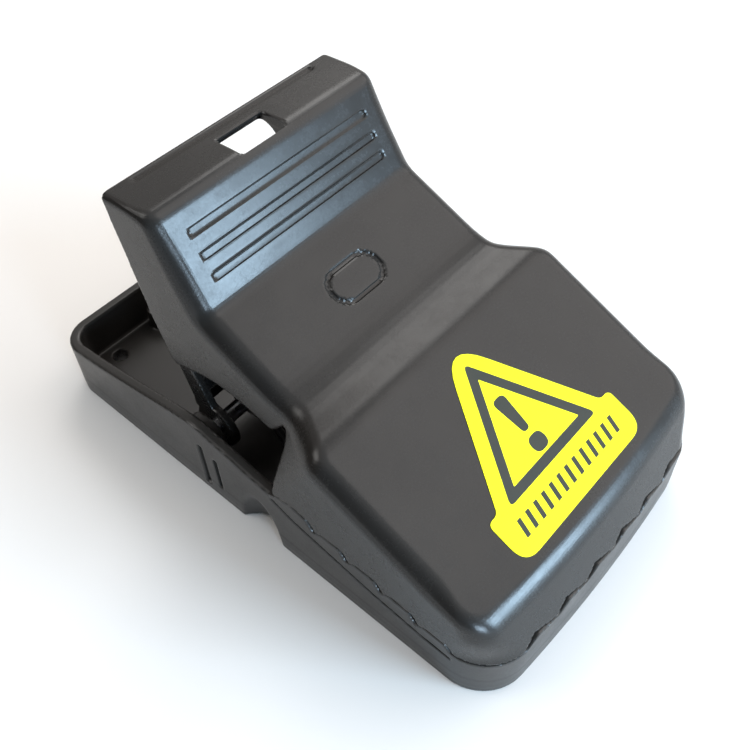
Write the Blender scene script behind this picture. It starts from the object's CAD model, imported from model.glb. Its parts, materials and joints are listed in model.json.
"""Jaw-type snap mouse trap: finished shells, springs, label, materials, light and camera.

The plastic mouldings are made as signed distance fields (negative inside) on a regular grid, in
millimetres, and then turned into meshes, so that every edge has its moulded round.
"""
import json
import math
from functools import partial, reduce

import bpy
import numpy as np
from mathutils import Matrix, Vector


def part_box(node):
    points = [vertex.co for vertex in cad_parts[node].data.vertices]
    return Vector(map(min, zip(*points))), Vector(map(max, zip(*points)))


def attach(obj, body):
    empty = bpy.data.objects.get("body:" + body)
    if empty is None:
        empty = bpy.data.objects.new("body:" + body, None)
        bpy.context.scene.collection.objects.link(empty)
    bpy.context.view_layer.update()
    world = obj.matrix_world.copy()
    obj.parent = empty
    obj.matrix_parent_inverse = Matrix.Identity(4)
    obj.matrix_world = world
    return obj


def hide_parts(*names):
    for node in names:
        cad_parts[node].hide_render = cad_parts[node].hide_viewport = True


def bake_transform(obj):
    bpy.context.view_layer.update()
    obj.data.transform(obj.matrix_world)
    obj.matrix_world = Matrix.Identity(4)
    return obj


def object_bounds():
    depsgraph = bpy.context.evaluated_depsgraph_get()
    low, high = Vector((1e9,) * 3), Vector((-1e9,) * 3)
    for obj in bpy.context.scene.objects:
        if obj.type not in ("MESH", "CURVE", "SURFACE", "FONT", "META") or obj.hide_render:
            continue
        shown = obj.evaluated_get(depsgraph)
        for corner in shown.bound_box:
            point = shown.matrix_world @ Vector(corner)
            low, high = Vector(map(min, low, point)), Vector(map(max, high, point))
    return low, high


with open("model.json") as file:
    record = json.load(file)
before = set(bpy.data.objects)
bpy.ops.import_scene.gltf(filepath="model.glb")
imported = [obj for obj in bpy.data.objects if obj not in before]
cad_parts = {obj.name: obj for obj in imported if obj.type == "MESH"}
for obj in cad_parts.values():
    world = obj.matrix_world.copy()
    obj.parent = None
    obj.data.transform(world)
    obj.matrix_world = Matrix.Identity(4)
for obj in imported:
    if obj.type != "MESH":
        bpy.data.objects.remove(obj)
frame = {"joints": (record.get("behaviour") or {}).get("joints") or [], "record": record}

import openvdb
from mathutils import Matrix, Vector

CAD_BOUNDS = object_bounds()
MM = 0.001
BODY_OF = {node: body for body, nodes in frame["record"]["behaviour"]["bodies"].items() for node in nodes}
JOINTS = {joint["name"]: joint for joint in frame["joints"]}

# ---- sizes, in millimetres, from the frame ----
LOW = np.array(CAD_BOUNDS[0]) / MM
HIGH = np.array(CAD_BOUNDS[1]) / MM
HALF_WIDTH = HIGH[0]
FRONT, REAR = LOW[1], HIGH[1]
HINGE_Y, HINGE_Z = (JOINTS["jaw_hinge"]["pos_m"][i] / MM for i in (1, 2))
PIN_Y, PIN_Z = (JOINTS["pedal_pivot"]["pos_m"][i] / MM for i in (1, 2))
CUP_Y = JOINTS["cup_twist"]["pos_m"][1] / MM
OPEN_ANGLE = math.radians(JOINTS["jaw_hinge"]["range_deg"][1])
COARSE = 1.0

# ---- shared shape values, in millimetres ----
# Both mouldings
FRONT_BOW = 1.9  # how far the front edge bulges past its corners
FRONT_CORNER = 10.6
REAR_CORNER = 8.0
WALL = 2.8  # base walls
SHELL = 2.2  # jaw walls
FLOOR = (2.6, 5.0)

# The line where the jaws meet
JAW_GAP = 0.34
FRONT_JAW_GAP = 0.5
TOOTH_SHIFT = 0.8  # how far the jaw's teeth stand along the wall from the base's
RIM = [(16.4, 72.0), (17.4, 56.2), (20.7, 39.4), (24.0, 24.6), (25.5, 15.7), (24.0, 9.8), (23.4, 4.9),
       (22.2, 0.9), (21.0, -7.6)]
RIM_BENDS = [0, 8, 8, 6, 5, 5, 5, 5, 0]
SIDE_TEETH = {"first": -18.8, "pitch": 9.3, "count": 5, "top": 22.2, "fall": 1.77}
SIDE_DROP, SIDE_RISE = (1.8, 3.1), (2.1, 1.5)
SIDE_LEAD = [(-9.5, 22.4), (-14.4, 23.2)]
FRONT_ZONE = -58.0  # in front of this, the front teeth set the height
FRONT_TEETH = {"first": -29.5, "pitch": 10.35, "count": 6, "low": 13.3, "high": 15.3, "rise": 3.5}
TEETH_FROM = -8.0
RIM_ROUND, TOOTH_ROUND = 0.7, 0.25

# Base
HINGE_BOSS = {"radius": 5.6, "inner": 34.5}
AXLE_SLOT = {"half": 2.3, "x": (33.5, 38.6)}
SPRING_SEAT = {"x": (19.7, 26.7), "y": (-7.0, -2.0), "z": (FLOOR[0], 10.2)}
SEAT_TUNNEL = {"x": (21.5, 24.9), "y": (-12.0, 4.0), "z": (FLOOR[1], 8.2)}
PEDAL_POST = {"x": (15.0, 18.5), "y": (PIN_Y - 3, PIN_Y + 3), "z": (FLOOR[0], 11.5)}
PEDAL_STOP = {"x": (17.2, 18.8), "y": (-50.0, -42.0), "z": (FLOOR[0], 6.6)}
PIN_HOLE = {"radius": 1.5, "half": 18.5}
TRAY_POST = {"x": 14.5, "y": 63.5, "radius": 2.4, "top": 11.0}
NAIL_HOLE = {"x": 29.0, "y": 62.6, "radius": 2.0}
UNDER_RIBS = {"x": 22.0, "y": (6.0, 24.0), "half": 0.7, "bottom": 0.5}
UNDER_RIBS_END = {"x": 33.0, "y": (-16.0, 62.0)}
CUP_HOLE = {"radius": 11.1, "notch_half": 2.9, "notch_reach": 13.2}
SCOOP = {"outside": 6.0, "y": -2.7, "z": -1.0, "radii": (9.6, 8.0, 18.6), "backing": 2.0}
SIDE_GROOVES = [
    {"y": 15.2, "z": (3.0, 18.0), "width": 1.5, "depth": 0.9},
    {"y": 10.6, "z": (5.0, 16.5), "width": 1.1, "depth": 0.9},
]
LEDGE = [(-8.4, 19.7), (-14.8, 17.2), (-26.6, 14.7), (-37.4, 12.5), (-49.5, 11.0), (-57.5, 10.7)]
LEDGE_GROOVE = {"half": 0.28, "depth": 0.55}

# Upper jaw: its roof as (y, z) from the lip to the end of the handle, and the bends between
ROOF = [(-65.6, 26.05), (-21.75, 46.2), (-9.9, 45.3), (12.5, 55.6), (24.2, 75.4), (38.4, 74.5)]
ROOF_BENDS = [2.5, 7.0, 1.6, 2.4]
LEAN = 4.4  # how far the front face leans back at the lip
LEAN_FROM, LEAN_TO = 14.0, 26.0
CORNER_LOSS = {"by": 4.6, "z": (14.0, 24.0)}  # the front corners get tighter towards the roof
EDGE_ROUND = 4.2
FRONT_EDGE = {"round": 2.3, "from": 50.0, "to": 62.0}
END_EDGE = {"round": 1.5, "from": 18.0, "to": 32.0}
HANDLE_HALF = 33.9
HANDLE_TAPER = {"by": 1.2, "from": 45.0, "over": 30.0}
CHEEK_SUM = 43.85  # x + 0.6 y + 0.38 z on the slanted cheek
CHEEK_BLENDS = (1.2, 1.6)
CHEEK = [(-7.6, 12.0), (-8.6, 24.0), (-9.6, 31.5), (-10.6, 37.7)]
CHEEK_BENDS = [1, 3, 6, 1.5]
HANDLE_LOWER = [(-9.8, 41.3), (-5.4, 35.7), (-4.0, 34.7), (5.1, 37.3), (13.9, 37.2), (26.8, 33.0)]
HANDLE_BENDS = [2, 3, 2, 4, 4, 2]
CROSS_WALL = [(19.4, 14.4), (21.6, 14.4), (26.6, 33), (32.6, 55), (30.4, 55), (24.4, 33)]
CROSS_HALF = 34.0
COIL_ROOM, COIL_COVER = 8.2, 2.0
HINGE_EYE = {"radius": 6.2, "x": (31.0, 34.0)}
EYE_WEB = [(HINGE_Y - 2, HINGE_Z), (HINGE_Y + 4, HINGE_Z - 2), (26.6, 33), (28.5, 40), (24, 40)]
HUB = {"radius": 5.0, "half": 5.0}
HUB_WEB = [(HINGE_Y, HINGE_Z - 3), (21.2, 14.6), (26.4, 33), (24, 33), (HINGE_Y - 2, HINGE_Z + 2)]
BORE_RADIUS = 2.3
SEAR = {"root": 3.6, "radius": 12.0, "lift": 0.5, "thickness": 4, "root_lift": 3.2, "half": 3.5}
HOLE_RIB = {"outline": [(19.4, 62), (32.8, 73.4), (24.2, 73.4)], "x": (6.5, 7.7)}
ROOF_RIBS = {"x": 21.0, "half": 0.8, "front": ((-60, -14), (-6.5, -1.0)), "rear": ((1, 24), (-5.5, -1.0))}
GRIP_SLOTS = {"half": 25.1, "radius": 0.9, "depth": 0.5}
GRIP_SLOT_PLACES = [(3, 6.0), (3, 10.8), (3, 16.0), (4, 12.2)]  # which flat of the roof, and how far up it
HANG_HOLE = {"half": 6.5, "along": (0.9, 8.6), "flare": 0.5, "corner": 0.8, "depth": 9.0}
RING_MARK = {"half": 3.2, "along": 12.3, "radius": 4.0, "line": 0.5, "depth": 0.55}

# Trigger
PEDAL = {"neck": 13.5, "half": 24.0, "shoulders": (-12.0, -19.0), "front": -54.0, "z": (6.9, 8.9)}
PEDAL_BENDS = [0, 3, 4, 11, 11, 4, 3, 0]
PEDAL_BORDER = {"inset": 2.2, "half": 0.5, "z": (8.0, 9.5)}
PEDAL_RING = {"radius": 14.2, "collar": 15.6, "half": 0.6, "z": (8.0, 10.2)}
PEDAL_HUB = 2.4
PEDAL_BUMPS = {"count": 3, "radius": 0.55, "half": 16.0, "step": 2.0, "y": -51.5, "z": 9.0}
HOOK = [(PIN_Y - 2, PIN_Z), (PIN_Y + 2, PIN_Z), (1.8, 13.6), (5, 15.0), (5, 16.6), (-0.2, 16.6)]
HOOK_HALF = 4.0
CUP = {"radius": 10.5, "bottom": 0.3, "top": 13.0, "inside": 9.1, "floor": 3.3}
CUP_FLANGE = {"radius": 14.0, "top": 2.3}
CUP_TAB = {"reach": 12.9, "half": 2.6, "z": (5.3, 6.5), "from": 9.5}
CUP_GRIP = {"half": 9.0, "y": (1.5, 9.0), "top": 1.9}
KEEPER = {"x": (34.7, 38.0), "half": 2.0, "bottom": 0.6, "under_axis": 0.3}

# Steel
AXLE = {"radius": 2.0, "half": 38.3, "chamfer": 0.4}
PIN = {"radius": 1.2, "half": 18.2, "chamfer": 0.25}
SPRING = {"wire": 1.1, "radius": 5.6, "outer": 23.2, "inner": 9.4, "turns": 6, "arm_step": 2.4}
WIRE_END = {"back": 0.25, "narrow": 0.8}  # of the wire's radius
SPRING_FOOT = (-9.5, 6.7)
SPRING_TIP = (20.6, 61.0)
LEG_ANGLE = 2.16
ARM_ANGLE = 2.96 - 2 * math.pi * SPRING["turns"]


# ---- distance fields ----
class Block:
    """A box of space sampled on a regular grid."""

    def __init__(self, low, high, cell):
        self.cell = cell * COARSE
        self.low = np.array(low, float) - 2.5 * self.cell
        counts = np.ceil((np.array(high) + 2.5 * self.cell - self.low) / self.cell).astype(int) + 1
        lines = [self.low[i] + self.cell * np.arange(counts[i]) for i in range(3)]
        self.x, self.y, self.z = (
            line.astype(np.float32).reshape([-1 if i == k else 1 for k in range(3)])
            for i, line in enumerate(lines)
        )
        self.shape = tuple(counts)


def both(a, b, radius=0.0):
    """What is in a and in b, with the edge between them rounded."""
    if isinstance(radius, float) and not radius:
        return np.maximum(a, b)
    corner = np.hypot(np.maximum(a + radius, 0), np.maximum(b + radius, 0))
    return np.minimum(np.maximum(a, b), -radius) + corner


def either(a, b, radius=0.0):
    """What is in a or in b, with a fillet in the corner between them."""
    return -both(-a, -b, radius)


def without(a, b, radius=0.0):
    return both(a, -b, radius)


def smooth_step(values, low, high):
    share = np.clip((values - low) / (high - low), 0, 1)
    return share * share * (3 - 2 * share)


def slab(values, low, high):
    return np.maximum(low - values, values - high)


def outline(u, v, points):
    """Distance to a closed outline given as (u, v) points."""
    points = np.array(points, float)
    nearest, inside = None, None
    for a, b in zip(points, np.roll(points, -1, axis=0)):
        edge = b - a
        du, dv = u - a[0], v - a[1]
        share = np.clip((du * edge[0] + dv * edge[1]) / (edge @ edge), 0, 1)
        square = (du - edge[0] * share) ** 2 + (dv - edge[1] * share) ** 2
        rise = edge[1] if abs(edge[1]) > 1e-9 else 1e-9
        crosses = ((a[1] > v) != (b[1] > v)) & (u < a[0] + edge[0] * dv / rise)
        nearest = square if nearest is None else np.minimum(nearest, square)
        inside = crosses if inside is None else inside ^ crosses
    return (np.where(inside, -1.0, 1.0) * np.sqrt(nearest)).astype(np.float32)


def rounded(points, radii, steps=6):
    """An outline with each corner turned into a smooth curve."""
    made = []
    count = len(points)
    for i, corner in enumerate(points):
        radius = radii[i] if isinstance(radii, (list, tuple)) else radii
        corner = np.array(corner, float)
        before = np.array(points[i - 1], float) - corner
        after = np.array(points[(i + 1) % count], float) - corner
        lengths = np.linalg.norm(before), np.linalg.norm(after)
        reach = min(radius, 0.49 * lengths[0], 0.49 * lengths[1])
        if reach < 0.05:
            made.append(tuple(corner))
            continue
        start = corner + before / lengths[0] * reach
        end = corner + after / lengths[1] * reach
        for k in range(steps + 1):
            t = k / steps
            made.append(tuple((1 - t) ** 2 * start + 2 * t * (1 - t) * corner + t * t * end))
    return made


def box_field(g, low, high, radius=0.0):
    field = both(slab(g.x, low[0], high[0]), slab(g.y, low[1], high[1]), radius)
    return both(field, slab(g.z, low[2], high[2]), radius)


def rod_x(g, radius, low, high, y, z, edge=0.0):
    return both(np.hypot(g.y - y, g.z - z) - radius, slab(g.x, low, high), edge)


def pair_of_blocks(g, block, upright_edge, top_edge):
    """A block on each side of the middle line."""
    plan = both(slab(np.abs(g.x), *block["x"]), slab(g.y, *block["y"]), upright_edge)
    return both(plan, slab(g.z, *block["z"]), top_edge)


def plate_x(g, points, low, high, edge=0.0):
    """A (y, z) outline between two x values, and its mirror image if low is above zero."""
    across = slab(np.abs(g.x), low, high) if low > 0 else slab(g.x, low, high)
    return both(outline(g.y, g.z, points), across, edge)


def roof_frame(index):
    """Start point, direction up the slope and direction out of one flat of the roof."""
    start = np.array(ROOF[index])
    along = np.array(ROOF[index + 1]) - start
    length = np.linalg.norm(along)
    along = along / length
    return start, along, np.array([-along[1], along[0]]), length


def on_roof(g, index):
    """How far up the slope of one flat of the roof, and how far out of it, each place is."""
    start, along, out, _ = roof_frame(index)
    u = (g.y - start[0]) * along[0] + (g.z - start[1]) * along[1]
    n = (g.y - start[0]) * out[0] + (g.z - start[1]) * out[1]
    return u, n


def on_hinge(angle, radius):
    """The (y, z) of a point turned about the jaw's hinge."""
    return HINGE_Y + radius * math.cos(angle), HINGE_Z + radius * math.sin(angle)


def from_hinge(g):
    return np.hypot(g.y - HINGE_Y, g.z - HINGE_Z)


def from_cup(g):
    return np.hypot(g.x, g.y - CUP_Y)


# ---- meshes ----
def sample(field, places):
    """Field values between grid points, places in grid steps."""
    base = np.clip(np.floor(places).astype(int), 0, np.array(field.shape) - 2)
    part = places - base
    total = np.zeros(len(places))
    for corner in range(8):
        step = np.array([(corner >> k) & 1 for k in range(3)])
        weight = np.prod(np.where(step, part, 1 - part), axis=1)
        at = base + step
        total += weight * field[at[:, 0], at[:, 1], at[:, 2]]
    return total


def field_mesh(name, g, field, budget):
    """A mesh of the field's surface, with the field's own normals where the surface is smooth."""
    field = np.broadcast_to(field, g.shape).astype(np.float32)
    band = 3 * g.cell
    grid = openvdb.FloatGrid(band)
    grid.copyFromArray(np.ascontiguousarray(np.clip(field, -band, band)))
    points, triangles, quads = grid.convertToPolygons(isovalue=0.0, adaptivity=0.0)
    faces = [tuple(map(int, face[::-1])) for face in list(quads) + list(triangles)]
    mesh = bpy.data.meshes.new(name)
    mesh.from_pydata(((points * g.cell + g.low) * MM).tolist(), [], faces)
    mesh.validate()
    mesh.update()
    piece = bpy.data.objects.new(name, mesh)
    bpy.context.scene.collection.objects.link(piece)
    thin_out(piece, budget)
    field_normals(piece, g, field)
    return piece


def thin_out(piece, budget):
    """Joins faces where the surface is flat, down to a budget of triangles."""
    mesh = piece.data
    mesh.calc_loop_triangles()
    count = len(mesh.loop_triangles)
    if count <= budget:
        return
    modifier = piece.modifiers.new("thin_out", "DECIMATE")
    modifier.ratio = budget / count
    apply_modifiers(piece)


def apply_modifiers(piece):
    graph = bpy.context.evaluated_depsgraph_get()
    graph.update()
    finished = bpy.data.meshes.new_from_object(piece.evaluated_get(graph))
    piece.modifiers.clear()
    piece.data = finished


def field_normals(piece, g, field):
    """Smooth normals from the field, and how sharply it bends outwards, as edge_wear.

    A face that stands off from the field's normal keeps its own, unless it is a sliver.
    """
    mesh = piece.data
    mesh.polygons.foreach_set("use_smooth", np.ones(len(mesh.polygons), bool))
    places = np.zeros(len(mesh.vertices) * 3)
    mesh.vertices.foreach_get("co", places)
    places = (places.reshape(-1, 3) / MM - g.low) / g.cell
    slopes, bend = [], np.zeros(len(places))
    for axis in range(3):
        step = np.zeros(3)
        step[axis] = 0.75
        slopes.append(sample(field, places + step) - sample(field, places - step))
        bend += sample(field, places + 2 * step) + sample(field, places - 2 * step)
    bend = (bend - 6 * sample(field, places)) / (1.5 * g.cell) ** 2
    wear = mesh.attributes.new("edge_wear", "FLOAT", "POINT")
    wear.data.foreach_set("value", np.clip(bend, 0, 1).astype(np.float32))
    slopes = np.stack(slopes, axis=1)
    slopes /= np.maximum(np.linalg.norm(slopes, axis=1, keepdims=True), 1e-9)
    corner_point = np.zeros(len(mesh.loops), int)
    mesh.loops.foreach_get("vertex_index", corner_point)
    face_normals = np.zeros(len(mesh.polygons) * 3)
    mesh.polygons.foreach_get("normal", face_normals)
    sizes = np.zeros(len(mesh.polygons), int)
    mesh.polygons.foreach_get("loop_total", sizes)
    flat = np.repeat(face_normals.reshape(-1, 3), sizes, axis=0)
    smooth = slopes[corner_point]
    areas = np.zeros(len(mesh.polygons))
    mesh.polygons.foreach_get("area", areas)
    sliver = np.repeat(areas < 0.5 * (g.cell * MM) ** 2, sizes)[:, None]
    facing = np.sum(flat * smooth, axis=1, keepdims=True)
    agree = (facing > math.cos(math.radians(28))) | (sliver & (facing > 0))
    mesh.normals_split_custom_set(np.where(agree, smooth, flat).tolist())
    mesh.update()


def tube_mesh(name, points, radius, sides=14):
    """A round wire along points in millimetres, with chamfered ends."""
    rings = []
    side = None
    for i, point in enumerate(points):
        along = (points[min(i + 1, len(points) - 1)] - points[max(i - 1, 0)]).normalized()
        side = along.orthogonal().normalized() if side is None else side
        side = (side - along * side.dot(along)).normalized()
        rings.append((point, along, side, along.cross(side), radius))
    pulled_in = [ring_at_end(rings[0], 1), ring_at_end(rings[-1], -1)]
    tips = [(*ring[:4], radius * WIRE_END["narrow"]) for ring in (rings[0], rings[-1])]
    rings = [tips[0], pulled_in[0]] + rings[1:-1] + [pulled_in[1], tips[1]]
    vertices, faces = [], []
    for point, _, side, other, size in rings:
        for k in range(sides):
            angle = 2 * math.pi * k / sides
            vertices.append((point + (side * math.cos(angle) + other * math.sin(angle)) * size) * MM)
    for i in range(len(rings) - 1):
        for k in range(sides):
            a, b = i * sides + k, i * sides + (k + 1) % sides
            faces.append((a, b, b + sides, a + sides))
    faces.append(tuple(range(sides))[::-1])
    faces.append(tuple(range((len(rings) - 1) * sides, len(rings) * sides)))
    return smooth_mesh(name, vertices, faces)


def ring_at_end(ring, direction):
    """The wire's first or last full ring, pulled in to leave room for the chamfer."""
    point, along, side, other, size = ring
    return point + along * size * WIRE_END["back"] * direction, along, side, other, size


def smooth_mesh(name, vertices, faces, crease=40.0):
    mesh = bpy.data.meshes.new(name)
    mesh.from_pydata([tuple(v) for v in vertices], [], faces)
    mesh.validate()
    mesh.update()
    mesh.polygons.foreach_set("use_smooth", np.ones(len(mesh.polygons), bool))
    mesh.set_sharp_from_angle(angle=math.radians(crease))
    piece = bpy.data.objects.new(name, mesh)
    bpy.context.scene.collection.objects.link(piece)
    return piece


def finish_piece(piece, nodes, material):
    """Hands a finished piece to the frame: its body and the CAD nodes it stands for."""
    piece.data.materials.clear()
    piece.data.materials.append(material)
    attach(piece, BODY_OF[nodes[0]])
    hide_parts(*nodes)
    return piece


# ---- the line between the jaws ----
def side_teeth(shift=0.0):
    t = SIDE_TEETH
    points = [(y - shift, z) for y, z in SIDE_LEAD]
    for i in range(t["count"]):
        y = t["first"] - i * t["pitch"] - shift
        z = t["top"] - i * t["fall"]
        points += [(y, z), (y - SIDE_DROP[0], z - SIDE_DROP[1])]
        points.append((y - SIDE_DROP[0] - SIDE_RISE[0], z - SIDE_DROP[1] + SIDE_RISE[1]))
    end = FRONT_TEETH["low"]
    return points[:-2] + [(FRONT_ZONE + 0.4 - shift, end), (FRONT_ZONE - shift, end)]


def front_teeth(shift=0.0):
    t = FRONT_TEETH
    beyond = HALF_WIDTH + 4
    points = [(beyond, t["low"])]
    for i in reversed(range(t["count"])):
        x = t["first"] + i * t["pitch"] - shift
        points += [(x + t["rise"], t["high"]), (x, t["low"])]
    return points + [(-beyond, t["low"])]


def under_rim(g, shift=0.0):
    """Distance to everything below the top of the base's walls.

    The jaw's edge is this line moved by shift along the wall, which leaves a wider gap at one flank
    of each tooth than at the other.
    """
    rim = rounded([(y, z) for z, y in RIM], RIM_BENDS)
    teeth = rounded(side_teeth(shift), 0.4, 2)
    side = [(-90, -9), (74, -9)] + rim + teeth + [(-90, teeth[-1][1])]
    front = [(-60, -9), (60, -9)] + rounded(front_teeth(shift), 0.5, 2)
    by_side = outline(g.y, g.z, side)
    by_front = outline(g.x, g.z, front)
    return np.where(g.y > FRONT_ZONE, by_side, by_front)


def front_face(g, lean):
    bow = FRONT_BOW * (g.x / HALF_WIDTH) ** 2
    return FRONT + bow + lean - g.y


# ---- base ----
def base_field(g):
    sides = both(np.abs(g.x) - HALF_WIDTH, front_face(g, 0.0), FRONT_CORNER)
    plan = both(sides, g.y - REAR, REAR_CORNER)
    wall = np.maximum(plan, -(plan + WALL))
    rim = under_rim(g)
    wall = np.where(g.y > TEETH_FROM, both(wall, rim, RIM_ROUND), both(wall, rim, TOOTH_ROUND))
    wall = both(wall, -g.z, 0.4)
    floor = np.maximum(plan + 0.6, slab(g.z, *FLOOR))
    field = either(wall, floor, 0.9)
    field = either(field, base_fittings(g), 0.5)
    return base_cuts(g, field, plan)


def base_fittings(g):
    x = np.abs(g.x)
    inner = HALF_WIDTH - WALL + 0.5
    across = slab(x, HINGE_BOSS["inner"], inner)
    radius = HINGE_BOSS["radius"]
    foot = both(slab(g.y, HINGE_Y - radius, HINGE_Y + radius), slab(g.z, FLOOR[0], HINGE_Z))
    boss = either(both(from_hinge(g) - radius, across, 0.4), both(foot, across))
    backing = both(both(scoop_egg(g, SCOOP["backing"]), x - inner), 0.6 - g.z)
    post_round = np.hypot(x - TRAY_POST["x"], g.y - TRAY_POST["y"]) - TRAY_POST["radius"]
    tray_post = both(post_round, slab(g.z, FLOOR[0], TRAY_POST["top"]), 0.5)
    return reduce(np.minimum, [
        boss,
        pair_of_blocks(g, SPRING_SEAT, 0.5, 0.5),
        pair_of_blocks(g, PEDAL_POST, 0.8, 0.8),
        pair_of_blocks(g, PEDAL_STOP, 0.0, 0.4),
        backing,
        tray_post,
        under_ribs(g),
    ])


def under_ribs(g):
    """Stiffening ribs under the floor."""
    r = UNDER_RIBS
    middle, away = r["y"]
    across = np.abs(np.abs(g.y - middle) - away)
    lines = np.minimum(np.abs(np.abs(g.x) - r["x"]), across) - r["half"]
    ribs = both(lines, slab(g.z, r["bottom"], FLOOR[0] + 0.2))
    return both(both(ribs, np.abs(g.x) - UNDER_RIBS_END["x"]), slab(g.y, *UNDER_RIBS_END["y"]))


def base_cuts(g, field, plan):
    x = np.abs(g.x)
    half = AXLE_SLOT["half"]
    way_up = both(slab(g.y, HINGE_Y - half, HINGE_Y + half), g.z - HINGE_Z)
    slot = both(np.minimum(way_up, from_hinge(g) - half), slab(x, *AXLE_SLOT["x"]))
    tunnel = pair_of_blocks(g, SEAT_TUNNEL, 0.0, 0.3)
    through = slab(g.z, -2, FLOOR[1] + 2)
    nails = both(np.hypot(x - NAIL_HOLE["x"], g.y - NAIL_HOLE["y"]) - NAIL_HOLE["radius"], through)
    pin = rod_x(g, PIN_HOLE["radius"], -PIN_HOLE["half"], PIN_HOLE["half"], PIN_Y, PIN_Z)
    cup = both(from_cup(g) - CUP_HOLE["radius"], through)
    notch = both(x - CUP_HOLE["notch_half"], np.abs(g.y - CUP_Y) - CUP_HOLE["notch_reach"])
    for cut in (slot, tunnel, nails, pin, cup, both(notch, through)):
        field = without(field, cut, 0.2)
    field = without(field, scoop_egg(g, 0.0), 0.6)
    for cut in wall_grooves(g, plan):
        field = without(field, cut, 0.15)
    return field


def wall_grooves(g, plan):
    """The upright grooves behind each finger scoop, and the long line in front of it."""
    grooves = []
    for groove in SIDE_GROOVES:
        half = groove["width"] / 2
        line = both(slab(g.y, groove["y"] - half, groove["y"] + half), slab(g.z, *groove["z"]), 0.3)
        grooves.append(both(line, -(plan + groove["depth"])))
    ledge = open_line(g.y, g.z, LEDGE) - LEDGE_GROOVE["half"]
    return grooves + [both(ledge, -(plan + LEDGE_GROOVE["depth"]))]


def scoop_egg(g, grow):
    """The egg shape that makes a finger scoop at the foot of each side wall."""
    radii = [r + grow for r in SCOOP["radii"]]
    x = np.abs(g.x) - HALF_WIDTH - SCOOP["outside"]
    y, z = g.y - SCOOP["y"], g.z - SCOOP["z"]
    return (np.sqrt((x / radii[0]) ** 2 + (y / radii[1]) ** 2 + (z / radii[2]) ** 2) - 1) * radii[0]


def open_line(u, v, points):
    """Distance to an open line."""
    nearest = None
    for a, b in zip(np.array(points[:-1], float), np.array(points[1:], float)):
        edge = b - a
        du, dv = u - a[0], v - a[1]
        share = np.clip((du * edge[0] + dv * edge[1]) / (edge @ edge), 0, 1)
        away = np.hypot(du - edge[0] * share, dv - edge[1] * share)
        nearest = away if nearest is None else np.minimum(nearest, away)
    return nearest.astype(np.float32)


# ---- upper jaw ----
def soft_least(a, b, radius):
    """The smaller of two values, blended where they are within radius of each other."""
    share = np.clip(0.5 + (b - a) / (2 * radius), 0, 1)
    return b + (a - b) * share - radius * share * (1 - share)


def jaw_width(g):
    """Half width of the jaw: the handle's, then the slanted cheek, then the full width."""
    taper = HANDLE_TAPER
    handle = HANDLE_HALF - taper["by"] * np.clip((g.z - taper["from"]) / taper["over"], 0, 1)
    cheek = CHEEK_SUM - 0.6 * g.y - 0.38 * g.z
    return soft_least(-soft_least(-handle, -cheek, CHEEK_BLENDS[0]), HALF_WIDTH, CHEEK_BLENDS[1])


def roof_outline():
    """The roof line in (y, z), run on past the lip and past the handle's end, closed far below."""
    first, last = np.array(ROOF[0]), np.array(ROOF[-1])
    slope = (np.array(ROOF[1]) - first) / np.linalg.norm(np.array(ROOF[1]) - first)
    start = first - slope * 20
    corners = [tuple(start)] + ROOF[1:-1] + [tuple(last + (8, -0.5)), (46, -20), (start[0], -20)]
    return rounded(corners, [0] + ROOF_BENDS + [0, 0, 0])


def side_outline():
    """What stays of the side walls in (y, z): the cheek's rear edge and the handle's lower edge."""
    corners = [(-95, -5), (-7.2, -5)] + CHEEK + HANDLE_LOWER + [ROOF[-1], (40, 90), (-95, 90)]
    return rounded(corners, [0, 0] + CHEEK_BENDS + HANDLE_BENDS + [0, 0, 0])


def roof_edge_round(g):
    """Radius of the roof's edges: full along the sides, smaller at the front and the handle's end."""
    front = smooth_step(-g.y, FRONT_EDGE["from"], FRONT_EDGE["to"])
    end = smooth_step(g.y, END_EDGE["from"], END_EDGE["to"])
    change = FRONT_EDGE["round"] - EDGE_ROUND, END_EDGE["round"] - EDGE_ROUND
    return EDGE_ROUND + change[0] * front + change[1] * end


def jaw_field(g):
    lean = LEAN * np.clip((g.z - LEAN_FROM) / (LEAN_TO - LEAN_FROM), 0, 2)
    corner = FRONT_CORNER - CORNER_LOSS["by"] * smooth_step(g.z, *CORNER_LOSS["z"])
    around = both(np.abs(g.x) - jaw_width(g), front_face(g, lean), corner)
    outer = both(outline(g.y, g.z, roof_outline()), around, roof_edge_round(g))
    shell = np.maximum(outer, -(outer + SHELL))
    shell = both(shell, outline(g.y, g.z, side_outline()), 0.5)
    gap = np.where(g.y > FRONT_ZONE, JAW_GAP, FRONT_JAW_GAP)
    shell = np.where(g.y < 0, both(shell, gap - under_rim(g, TOOTH_SHIFT), TOOTH_ROUND), shell)
    field = either(shell, np.maximum(jaw_fittings(g), outer + 0.8), 0.7)
    return jaw_cuts(g, field)


def jaw_fittings(g):
    eye_inner, eye_outer = HINGE_EYE["x"]
    eye = both(from_hinge(g) - HINGE_EYE["radius"], slab(np.abs(g.x), eye_inner, eye_outer), 0.4)
    hub = both(from_hinge(g) - HUB["radius"], slab(g.x, -HUB["half"], HUB["half"]), 0.4)
    return reduce(np.minimum, [
        cross_wall(g),
        eye,
        plate_x(g, EYE_WEB, eye_inner, eye_outer, 0.3),
        hub,
        plate_x(g, HUB_WEB, -HUB["half"], HUB["half"]),
        plate_x(g, sear_outline(), -SEAR["half"], SEAR["half"], 0.3),
        roof_ribs(g),
        plate_x(g, HOLE_RIB["outline"], *HOLE_RIB["x"], 0.3),
    ])


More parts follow.
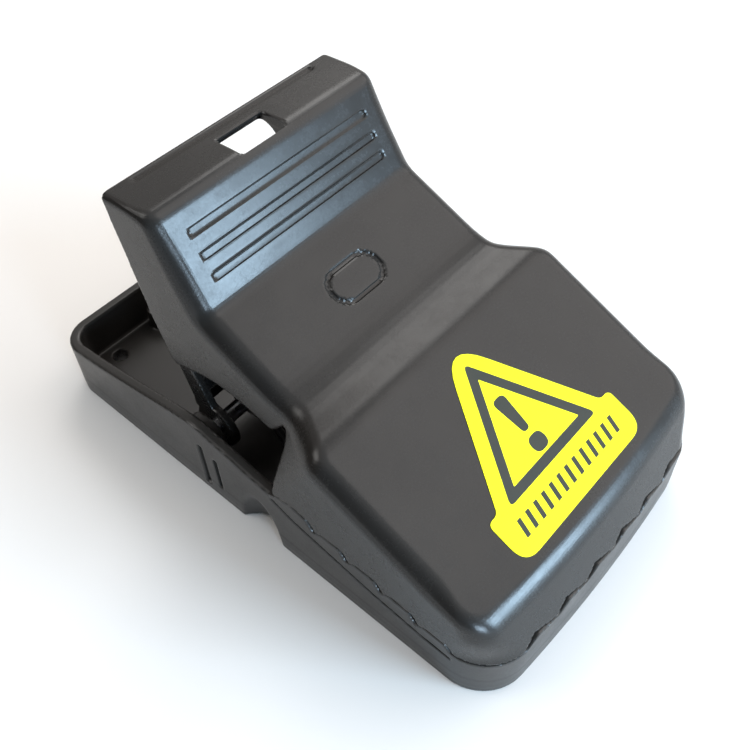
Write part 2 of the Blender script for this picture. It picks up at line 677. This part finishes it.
def cross_wall(g):
    """Wall across the rear of the handle, down to the axle, bulging rearwards round the spring coils."""
    beside_coil = slab(np.abs(g.x), HUB["half"], HINGE_EYE["x"][0])
    height = slab(g.z, CROSS_WALL[0][1], HINGE_Z + COIL_ROOM)
    cover = both(both(from_hinge(g) - (COIL_ROOM + COIL_COVER), beside_coil), height)
    wall = plate_x(g, CROSS_WALL, -CROSS_HALF, CROSS_HALF, 0.3)
    wall = either(wall, both(cover, CROSS_WALL[1][0] - g.y), 1.0)
    return without(wall, both(from_hinge(g) - COIL_ROOM, beside_coil), 0.3)


def roof_ribs(g):
    """Two ribs under the front plate, and two under the ramp."""
    beside = np.abs(np.abs(g.x) - ROOF_RIBS["x"]) - ROOF_RIBS["half"]
    span, depth = ROOF_RIBS["front"]
    front = both(both(beside, slab(g.y, *span)), slab(on_roof(g, 0)[1], *depth), 0.3)
    span, depth = ROOF_RIBS["rear"]
    along, out = on_roof(g, 2)
    return np.minimum(front, both(both(beside, slab(along, *span)), slab(out, *depth), 0.3))


def sear_outline():
    """The finger that the pedal's hook catches: level under the hook when the jaws are open."""
    root, radius, lift = SEAR["root"], SEAR["radius"], SEAR["lift"]

    def angle_of(height, reach):
        return math.pi - math.asin(height / reach) + OPEN_ANGLE

    points = [on_hinge(angle_of(lift, root), root)]
    points += [on_hinge(angle_of(lift + k, radius), radius) for k in range(SEAR["thickness"] + 1)]
    return points + [on_hinge(angle_of(SEAR["root_lift"], root), root)]


def jaw_cuts(g, field):
    x = np.abs(g.x)
    field = without(field, from_hinge(g) - BORE_RADIUS, 0.15)
    for index, place in GRIP_SLOT_PLACES:
        along, out = on_roof(g, index)
        line = np.hypot(np.maximum(x - GRIP_SLOTS["half"], 0), along - place) - GRIP_SLOTS["radius"]
        field = without(field, both(line, np.abs(out) - GRIP_SLOTS["depth"], 0.1), 0.12)
    along, out = on_roof(g, 4)
    low, high = HANG_HOLE["along"]
    flared = slab(along, low, high + HANG_HOLE["flare"] * np.clip(-out, 0, 3))
    hole = both(x - HANG_HOLE["half"], flared, HANG_HOLE["corner"])
    hole = both(hole, slab(out, -HANG_HOLE["depth"], 5))
    field = without(field, hole, 0.35)
    return engrave_mark(g, field)


def engrave_mark(g, field):
    """A plain ring groove where a thumb presses."""
    along, out = on_roof(g, 2)
    sideways = np.maximum(np.abs(g.x) - RING_MARK["half"], 0)
    ring = np.abs(np.hypot(sideways, along - RING_MARK["along"]) - RING_MARK["radius"])
    return without(field, both(ring - RING_MARK["line"], np.abs(out) - RING_MARK["depth"]), 0.25)


# ---- trigger ----
def pedal_plan():
    neck, half, front = PEDAL["neck"], PEDAL["half"], PEDAL["front"]
    rear, wide = PEDAL["shoulders"]
    left = [(-neck, PIN_Y), (-neck, rear), (-half, wide), (-half, front)]
    return rounded(left + [(-x, y) for x, y in reversed(left)], PEDAL_BENDS)


def pedal_field(g):
    plan = outline(g.x, g.y, pedal_plan())
    plate = both(plan, slab(g.z, *PEDAL["z"]), 0.6)
    border = np.abs(plan + PEDAL_BORDER["inset"]) - PEDAL_BORDER["half"]
    plate = either(plate, both(border, slab(g.z, *PEDAL_BORDER["z"]), 0.3), 0.3)
    plate = without(plate, from_cup(g) - PEDAL_RING["radius"], 0.5)
    collar = np.abs(from_cup(g) - PEDAL_RING["collar"]) - PEDAL_RING["half"]
    plate = either(plate, both(collar, slab(g.z, *PEDAL_RING["z"]), 0.4), 0.4)
    hub = rod_x(g, PEDAL_HUB, -PEDAL["neck"], PEDAL["neck"], PIN_Y, PIN_Z, 0.3)
    arm = plate_x(g, HOOK, -HOOK_HALF, HOOK_HALF, 0.3)
    field = either(either(plate, hub, 0.8), arm, 0.8)
    bumps = PEDAL_BUMPS
    for k in range(bumps["count"]):
        half = bumps["half"] - k * bumps["step"]
        bump = rod_x(g, bumps["radius"], -half, half, bumps["y"] + k * bumps["step"], bumps["z"])
        field = either(field, bump, 0.2)
    return without(field, np.hypot(g.y - PIN_Y, g.z - PIN_Z) - PIN_HOLE["radius"], 0.15)


def cup_field(g):
    r = from_cup(g)
    body = both(r - CUP["radius"], slab(g.z, CUP["bottom"], CUP["top"]), 0.5)
    flange = both(r - CUP_FLANGE["radius"], slab(g.z, CUP["bottom"], CUP_FLANGE["top"]), 0.5)
    field = either(body, flange, 0.4)
    field = without(field, both(r - CUP["inside"], slab(g.z, CUP["floor"], 20), 0.8), 0.4)
    along = np.abs(g.y - CUP_Y)
    tabs = both(np.abs(g.x) - CUP_TAB["reach"], along - CUP_TAB["half"])
    tabs = both(tabs, slab(g.z, *CUP_TAB["z"]), 0.3)
    field = either(field, without(tabs, r - CUP_TAB["from"]), 0.3)
    fingers = both(np.abs(g.x) - CUP_GRIP["half"], slab(along, *CUP_GRIP["y"]), 1.0)
    return without(field, both(fingers, g.z - CUP_GRIP["top"], 0.3), 0.3)


def keeper_field(g, side):
    low, high = sorted(side * x for x in KEEPER["x"])
    half, top = KEEPER["half"], HINGE_Z - KEEPER["under_axis"]
    field = box_field(g, (low, HINGE_Y - half, KEEPER["bottom"]), (high, HINGE_Y + half, top), 0.3)
    return without(field, from_hinge(g) - BORE_RADIUS, 0.1)


# ---- steel parts ----
def spring_points(side):
    """Floor leg, coil and arm of one torsion spring."""
    coil = spring_coil(side)
    return spring_leg(coil[0]) + coil + spring_arm(coil[-1], side)


def spring_coil(side, steps_per_turn=40):
    points = []
    count = steps_per_turn * SPRING["turns"]
    for i in range(count + 1):
        share = i / count
        y, z = on_hinge(LEG_ANGLE + (ARM_ANGLE - LEG_ANGLE) * share, SPRING["radius"])
        x = SPRING["outer"] + (SPRING["inner"] - SPRING["outer"]) * share
        points.append(Vector((side * x, y, z)))
    return points


def spring_leg(start, steps=12):
    """From the foot under its bridge, along the floor and up into the coil."""
    foot_y, foot_z = SPRING_FOOT
    bend = Vector((start.x, foot_y + 8.5, foot_z))
    forwards = Vector((0, 12, 0))
    into_coil = Vector((0, math.sin(LEG_ANGLE), -math.cos(LEG_ANGLE))) * 14
    points = [Vector((start.x, foot_y, foot_z)), Vector((start.x, foot_y + 4, foot_z))]
    return points + [hermite(bend, start, forwards, into_coil, k / steps) for k in range(1, steps)]


def spring_arm(start, side, steps=24):
    """From the coil's last turn, stepping inwards beside it, up to the back of the thumb plate."""
    tip_y, tip_z = SPRING_TIP
    beside = start.x - side * SPRING["arm_step"]
    points = []
    for k in range(1, steps + 1):
        t = k / steps
        slide = min(1, t * 6)
        x = start.x + (beside - start.x) * slide * slide * (3 - 2 * slide)
        points.append(Vector((x, start.y + (tip_y - start.y) * t, start.z + (tip_z - start.z) * t)))
    return points


def hermite(a, b, da, db, t):
    return (
        a * (2 * t**3 - 3 * t**2 + 1)
        + da * (t**3 - 2 * t**2 + t)
        + b * (-2 * t**3 + 3 * t**2)
        + db * (t**3 - t**2)
    )


def round_bar(name, radius, half, y, z, chamfer, sides=40):
    """A steel rod along X with chamfered ends."""
    ends = [(half - chamfer, radius), (half, radius - chamfer)]
    stations = [(-x, size) for x, size in reversed(ends)] + ends
    vertices, faces = [], []
    for x, size in stations:
        for k in range(sides):
            angle = 2 * math.pi * k / sides
            vertices.append((x * MM, (y + size * math.cos(angle)) * MM, (z + size * math.sin(angle)) * MM))
    for i in range(len(stations) - 1):
        for k in range(sides):
            a, b = i * sides + k, i * sides + (k + 1) % sides
            faces.append((a, b, b + sides, a + sides))
    faces.append(tuple(range(sides))[::-1])
    faces.append(tuple(range(3 * sides, 4 * sides)))
    return smooth_mesh(name, vertices, faces, 30.0)


# ---- materials ----
def new_material(name, base, roughness, metallic=0.0):
    material = bpy.data.materials.new(name)
    material.use_nodes = True
    tree = material.node_tree
    shader = tree.nodes["Principled BSDF"]
    shader.inputs["Base Color"].default_value = (*base, 1)
    shader.inputs["Roughness"].default_value = roughness
    shader.inputs["Metallic"].default_value = metallic
    return material, tree, shader


def add(tree, kind, **values):
    node = tree.nodes.new(kind)
    for key, value in values.items():
        if key.startswith("in_"):
            node.inputs[key[3:].replace("_", " ")].default_value = value
        else:
            setattr(node, key, value)
    return node


def noise(tree, scale, detail=4.0, roughness=0.55):
    place = add(tree, "ShaderNodeTexCoord")
    node = add(tree, "ShaderNodeTexNoise", in_Scale=scale, in_Detail=detail, in_Roughness=roughness)
    tree.links.new(place.outputs["Object"], node.inputs["Vector"])
    return node.outputs["Fac"]


def ramp(tree, source, low, high, out_low, out_high):
    """A value from low to high, turned into one from out_low to out_high."""
    node = add(
        tree, "ShaderNodeMapRange", in_From_Min=low, in_From_Max=high, in_To_Min=out_low, in_To_Max=out_high
    )
    tree.links.new(source, node.inputs["Value"])
    return node.outputs["Result"]


def mix_colour(tree, factor, a, b):
    node = add(tree, "ShaderNodeMix", data_type="RGBA")
    node.inputs["A"].default_value = (*a, 1)
    node.inputs["B"].default_value = (*b, 1)
    tree.links.new(factor, node.inputs["Factor"])
    return node.outputs["Result"]


def combine(tree, operation, a, b):
    node = add(tree, "ShaderNodeMath", operation=operation)
    for socket, value in zip(node.inputs, (a, b)):
        if isinstance(value, (int, float)):
            socket.default_value = value
        else:
            tree.links.new(value, socket)
    return node.outputs["Value"]


def bump(tree, shader, height, strength, distance):
    """Fine relief by shading, with distance in metres."""
    node = add(tree, "ShaderNodeBump", in_Strength=strength, in_Distance=distance)
    tree.links.new(height, node.inputs["Height"])
    tree.links.new(node.outputs["Normal"], shader.inputs["Normal"])


def plastic(name, dark, light, roughness, grain, gloss=0.55):
    """Satin moulded plastic: fine spark texture, faint flow marks, paler and shinier worn edges."""
    material, tree, shader = new_material(name, dark, roughness)
    shader.inputs["Specular IOR Level"].default_value = gloss
    cloud = noise(tree, 38.0, 5.0)
    fine = noise(tree, 1500.0, 3.0, 0.6)
    smear = noise(tree, 140.0, 4.0)
    edges = add(tree, "ShaderNodeAttribute", attribute_name="edge_wear")
    worn = ramp(tree, edges.outputs["Fac"], 0.15, 0.75, 0.0, 1.0)
    worn = combine(tree, "MULTIPLY", worn, ramp(tree, smear, 0.35, 0.65, 0.2, 1.0))
    shade = combine(tree, "MULTIPLY", worn, 0.45)
    shade = combine(tree, "ADD", ramp(tree, cloud, 0.3, 0.7, 0.0, 0.55), shade)
    tree.links.new(mix_colour(tree, shade, dark, light), shader.inputs["Base Color"])
    smeared = ramp(tree, smear, 0.3, 0.7, roughness - 0.035, roughness + 0.045)
    rough = combine(tree, "ADD", smeared, ramp(tree, fine, 0.3, 0.7, -0.03, 0.03))
    rough = combine(tree, "SUBTRACT", rough, combine(tree, "MULTIPLY", worn, 0.06))
    tree.links.new(rough, shader.inputs["Roughness"])
    height = combine(tree, "ADD", fine, combine(tree, "MULTIPLY", smear, 0.25))
    bump(tree, shader, height, grain, 0.00006)
    return material


def steel(name, colour, roughness, stretch):
    """Drawn wire or rod: fine lines along X and patches of dull plating."""
    material, tree, shader = new_material(name, colour, roughness, 1.0)
    place = add(tree, "ShaderNodeTexCoord")
    mapping = add(tree, "ShaderNodeMapping", in_Scale=stretch)
    lines = add(tree, "ShaderNodeTexNoise", in_Scale=900.0, in_Detail=3.0)
    tree.links.new(place.outputs["Object"], mapping.inputs["Vector"])
    tree.links.new(mapping.outputs["Vector"], lines.inputs["Vector"])
    patch = noise(tree, 160.0, 4.0)
    dull = tuple(c * 0.6 for c in colour)
    shade = mix_colour(tree, ramp(tree, patch, 0.45, 0.7, 0.0, 1.0), colour, dull)
    tree.links.new(shade, shader.inputs["Base Color"])
    lined = ramp(tree, lines.outputs["Fac"], 0.3, 0.7, roughness - 0.06, roughness + 0.08)
    rough = combine(tree, "ADD", lined, ramp(tree, patch, 0.4, 0.7, 0.0, 0.12))
    tree.links.new(rough, shader.inputs["Roughness"])
    bump(tree, shader, lines.outputs["Fac"], 0.35, 0.00004)
    return material


def film(name, colour, roughness):
    """Printed vinyl: even colour, slight print mottle, faint ripples and scuffs."""
    material, tree, shader = new_material(name, colour, roughness)
    shader.inputs["Specular IOR Level"].default_value = 0.25
    mottle = noise(tree, 260.0, 4.0)
    ripple = noise(tree, 55.0, 2.0)
    deeper = tuple(c * 0.86 for c in colour)
    shade = mix_colour(tree, ramp(tree, mottle, 0.35, 0.7, 0.0, 0.5), colour, deeper)
    tree.links.new(shade, shader.inputs["Base Color"])
    rough = ramp(tree, mottle, 0.3, 0.7, roughness - 0.05, roughness + 0.08)
    tree.links.new(rough, shader.inputs["Roughness"])
    bump(tree, shader, ripple, 0.25, 0.0001)
    return material


JAW_BLACK = plastic("jaw_black", (0.0135, 0.0125, 0.0118), (0.023, 0.021, 0.019), 0.26, 0.20, 0.29)
BASE_BLACK = plastic("base_black", (0.015, 0.0138, 0.0128), (0.025, 0.023, 0.021), 0.33, 0.26, 0.42)
TRIGGER_BLACK = plastic("trigger_black", (0.022, 0.022, 0.023), (0.036, 0.036, 0.037), 0.36, 0.22)
ROD = steel("rod_steel", (0.62, 0.63, 0.65), 0.26, (0.04, 1, 1))
WIRE = steel("spring_wire", (0.30, 0.30, 0.31), 0.30, (1, 0.3, 0.3))
YELLOW = film("label_yellow", (0.97, 0.93, 0.006), 0.42)
INK = film("label_ink", (0.030, 0.032, 0.026), 0.46)


# ---- plastic pieces ----
def moulding(name, node, field, cell, budget, material, headroom=0.0):
    """A plastic piece made from its distance field, inside its CAD node's box."""
    low, high = (np.array(corner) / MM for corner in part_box(node))
    g = Block(low, high + (0, 0, headroom), cell)
    finish_piece(field_mesh(name, g, field(g), budget), [node], material)


def make_plastic_pieces():
    moulding("base_shell", "base_tray", base_field, 0.42, 150000, BASE_BLACK)
    moulding("jaw_shell", "upper_jaw", jaw_field, 0.42, 150000, JAW_BLACK)
    moulding("pedal", "trigger_pedal", pedal_field, 0.3, 40000, TRIGGER_BLACK, 0.5)
    moulding("bait_cup_body", "bait_cup", cup_field, 0.25, 30000, TRIGGER_BLACK)
    for word, side in (("left", -1), ("right", 1)):
        field = partial(keeper_field, side=side)
        moulding(f"keeper_{word}", f"axle_keeper_{word}", field, 0.2, 4000, BASE_BLACK)


# ---- steel pieces ----
def make_steel_pieces():
    axle = round_bar("axle_rod", AXLE["radius"], AXLE["half"], HINGE_Y, HINGE_Z, AXLE["chamfer"])
    finish_piece(axle, ["hinge_axle"], ROD)
    pin = round_bar("pedal_rod", PIN["radius"], PIN["half"], PIN_Y, PIN_Z, PIN["chamfer"])
    finish_piece(pin, ["pedal_pin"], ROD)
    for word, side in (("left", -1), ("right", 1)):
        piece = tube_mesh(f"spring_{word}", spring_points(side), SPRING["wire"])
        piece.data.materials.append(WIRE)
        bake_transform(piece)
        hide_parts(f"spring_coil_{word}", f"spring_arm_{word}")


# ---- label ----
# In millimetres on the front plate: across it, and up its slope from the lip.
TRIANGLE = {"side": 31.0, "base": 14.4, "ring": 2.2, "margin": 3.3}
STRIP = {"length": 43.6, "width": 10.6, "low": 4.8}
FILM_ROUNDS = [4.4, 4.4, 5.0, 1.2, 10.5, 1.2, 5.0]
FILM_HEIGHTS = (0.02, 0.16)
INK_HEIGHTS = (0.10, 0.175)
MARK_MIDDLE = 9.4  # above the triangle's base
MARK_BAR = {"low": -1.4, "high": 7.6, "low_half": 1.0, "high_half": 1.9, "round": 1.5}
MARK_DOT = {"low": -6.6, "high": -2.7, "half": 2.2, "round": 2.1}
STRIPES = {"step": 2.75, "width": 1.15, "slant": 1.0, "ends": 7, "foot": 3.2, "head": 3.6}


def roof_place(x, up, out):
    """A place on the front plate, in metres: sideways, up its slope and out of it."""
    start, along, outwards, _ = roof_frame(0)
    y, z = start + along * up + outwards * out
    return Vector((x, y, z)) * MM


def flat_piece(name, loops, low, high):
    """A thin solid lying on the front plate: one outer loop, and holes after it."""
    curve = bpy.data.curves.new(name, "CURVE")
    curve.dimensions = "2D"
    curve.fill_mode = "BOTH"
    curve.extrude = (high - low) / 2
    for loop in loops:
        spline = curve.splines.new("POLY")
        spline.points.add(len(loop) - 1)
        for point, (x, u) in zip(spline.points, loop):
            point.co = (x, u, 0, 1)
        spline.use_cyclic_u = True
    holder = bpy.data.objects.new(name, curve)
    bpy.context.scene.collection.objects.link(holder)
    graph = bpy.context.evaluated_depsgraph_get()
    graph.update()
    mesh = bpy.data.meshes.new_from_object(holder.evaluated_get(graph))
    bpy.data.objects.remove(holder)
    middle = (high + low) / 2
    for vertex in mesh.vertices:
        vertex.co = roof_place(vertex.co.x, vertex.co.y, vertex.co.z + middle)
    mesh.name = name
    mesh.update()
    piece = bpy.data.objects.new(name, mesh)
    bpy.context.scene.collection.objects.link(piece)
    return piece


def triangle_points(grow):
    """The warning triangle, moved outwards by grow."""
    half = TRIANGLE["side"] / 2 + grow * math.sqrt(3)
    low = TRIANGLE["base"] - grow
    return [(-half, low), (half, low), (0, low + half * math.sqrt(3))]


def ink_piece(word, loops):
    return flat_piece(f"label_{word}", loops, *INK_HEIGHTS)


def attention_mark(middle):
    """The plain generic sign for attention: a tapered bar over a dot."""
    low, high = middle + MARK_BAR["low"], middle + MARK_BAR["high"]
    narrow, wide = MARK_BAR["low_half"], MARK_BAR["high_half"]
    bar = rounded([(-narrow, low), (narrow, low), (wide, high), (-wide, high)], MARK_BAR["round"], 5)
    low, high = middle + MARK_DOT["low"], middle + MARK_DOT["high"]
    half = MARK_DOT["half"]
    dot = rounded([(-half, low), (half, low), (half, high), (-half, high)], MARK_DOT["round"], 6)
    return [ink_piece("mark_bar", [bar]), ink_piece("mark_dot", [dot])]


def caution_stripes(half, low, high):
    """A row of slanted bars where such a label has its words."""
    width, slant = STRIPES["width"], STRIPES["slant"]
    foot, head = low + STRIPES["foot"], high - STRIPES["head"]
    count = int((2 * half - STRIPES["ends"]) / STRIPES["step"])
    made = []
    for k in range(count):
        x = (k - (count - 1) / 2) * STRIPES["step"]
        bar = [(x - slant, foot), (x - slant + width, foot), (x + slant, head), (x + slant - width, head)]
        made.append(ink_piece(f"stripe_{k + 1:02d}", [bar]))
    return made


def film_outline(half, low, high):
    """The strip and the grown triangle on top of it, in one outline."""
    _, right, top = (np.array(corner) for corner in triangle_points(TRIANGLE["margin"]))
    flank = top - right
    share = (high - right[1]) / flank[1]
    meet = right + flank * share
    body = [(-half, low), (half, low), (half, high), (meet[0], high)]
    body += [tuple(top), (-meet[0], high), (-half, high)]
    return rounded(body, FILM_ROUNDS, 8)


def make_label():
    low = STRIP["low"]
    high = low + STRIP["width"]
    half = STRIP["length"] / 2
    backing = flat_piece("label_film", [film_outline(half, low, high)], *FILM_HEIGHTS)
    finish_piece(backing, ["warning_label"], YELLOW)
    outer = rounded(triangle_points(0.0), 1.6, 6)
    inner = rounded(triangle_points(-TRIANGLE["ring"])[::-1], 0.3)
    prints = [ink_piece("triangle", [outer, inner])]
    prints += attention_mark(TRIANGLE["base"] + MARK_MIDDLE)
    prints += caution_stripes(half, low, high)
    for piece in prints:
        piece.data.materials.clear()
        piece.data.materials.append(INK)
        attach(piece, "jaw")


# ---- stage ----
# In metres, degrees and watts.
FLOOR_HALF = 1.5
LIGHT_AIM = (0, 0, 0.03)
CAMERA = {"azimuth": -47.38, "elevation": 50.50, "roll": -2.17, "distance": 0.23425, "lens": 43.4}
CAMERA_AIM = Vector((8.57, 4.61, 6.46)) * MM


def make_floor():
    half = FLOOR_HALF
    corners = [(-half, -half, 0), (half, -half, 0), (half, half, 0), (-half, half, 0)]
    mesh = bpy.data.meshes.new("floor")
    mesh.from_pydata(corners, [], [(0, 1, 2, 3)])
    floor = bpy.data.objects.new("floor", mesh)
    bpy.context.scene.collection.objects.link(floor)
    material, _, _ = new_material("floor_paint", (0.80, 0.79, 0.775), 0.75)
    mesh.materials.append(material)


def area_light(name, place, size, power, colour):
    """A rectangular light that looks at the trap."""
    data = bpy.data.lights.new(name, "AREA")
    data.shape = "RECTANGLE"
    data.size, data.size_y = size
    data.energy = power
    data.color = colour
    light = bpy.data.objects.new(name, data)
    light.location = place
    light.rotation_mode = "QUATERNION"
    light.rotation_quaternion = (Vector(LIGHT_AIM) - Vector(place)).to_track_quat("-Z", "Y")
    bpy.context.scene.collection.objects.link(light)


def make_world():
    """Soft surroundings, dim low on the left and bright overhead, and a plain pale backdrop."""
    world = bpy.data.worlds.new("studio")
    world.use_nodes = True
    tree = world.node_tree
    background = tree.nodes["Background"]
    background.inputs["Color"].default_value = (1.0, 0.975, 0.95, 1)
    place = add(tree, "ShaderNodeTexCoord")
    split = add(tree, "ShaderNodeSeparateXYZ")
    tree.links.new(place.outputs["Generated"], split.inputs["Vector"])
    sideways = combine(tree, "MULTIPLY", split.outputs["X"], 0.8)
    upwards = combine(tree, "MULTIPLY", split.outputs["Z"], 0.9)
    towards = combine(tree, "ADD", sideways, upwards)
    glow = ramp(tree, towards, 0.15, 0.8, 0.06, 0.85)
    backdrop = combine(tree, "MULTIPLY", add(tree, "ShaderNodeLightPath").outputs["Is Camera Ray"], 0.8)
    tree.links.new(combine(tree, "MAXIMUM", glow, backdrop), background.inputs["Strength"])
    bpy.context.scene.world = world
    bpy.context.scene.view_settings.view_transform = "Standard"


def make_lights():
    area_light("window", (0.30, -0.95, 0.27), (0.44, 0.36), 18.0, (0.56, 0.79, 1.0))
    area_light("low_window", (-0.30, -0.93, 0.17), (0.22, 0.22), 6.0, (0.60, 0.80, 1.0))
    area_light("far_side", (0.62, 0.46, 0.80), (0.45, 0.45), 3.0, (1.0, 0.98, 0.96))
    area_light("ceiling", (0.66, -0.40, 0.84), (0.95, 0.95), 6.0, (1.0, 0.92, 0.87))
    area_light("rear_fill", (-0.44, 0.50, 0.80), (0.45, 0.45), 2.6, (1.0, 0.98, 0.95))


def make_camera():
    """The viewpoint: the direction back from the aim point to the camera, and the roll about it."""
    azimuth, elevation, roll = (math.radians(CAMERA[key]) for key in ("azimuth", "elevation", "roll"))
    level_reach = math.cos(elevation)
    back = Vector((math.sin(azimuth) * level_reach, -math.cos(azimuth) * level_reach, math.sin(elevation)))
    level = Vector((0, 0, 1)).cross(back).normalized()
    upright = back.cross(level)
    right = level * math.cos(roll) + upright * math.sin(roll)
    up = upright * math.cos(roll) - level * math.sin(roll)
    data = bpy.data.cameras.new("camera")
    data.sensor_width = 36.0
    data.lens = CAMERA["lens"]
    data.clip_start = 0.01
    camera = bpy.data.objects.new("camera", data)
    rotation = Matrix((right, up, back)).transposed().to_4x4()
    camera.matrix_world = Matrix.Translation(CAMERA_AIM + back * CAMERA["distance"]) @ rotation
    bpy.context.scene.collection.objects.link(camera)
    bpy.context.scene.camera = camera


make_camera()
make_floor()
make_world()
make_lights()
make_plastic_pieces()
make_steel_pieces()
make_label()
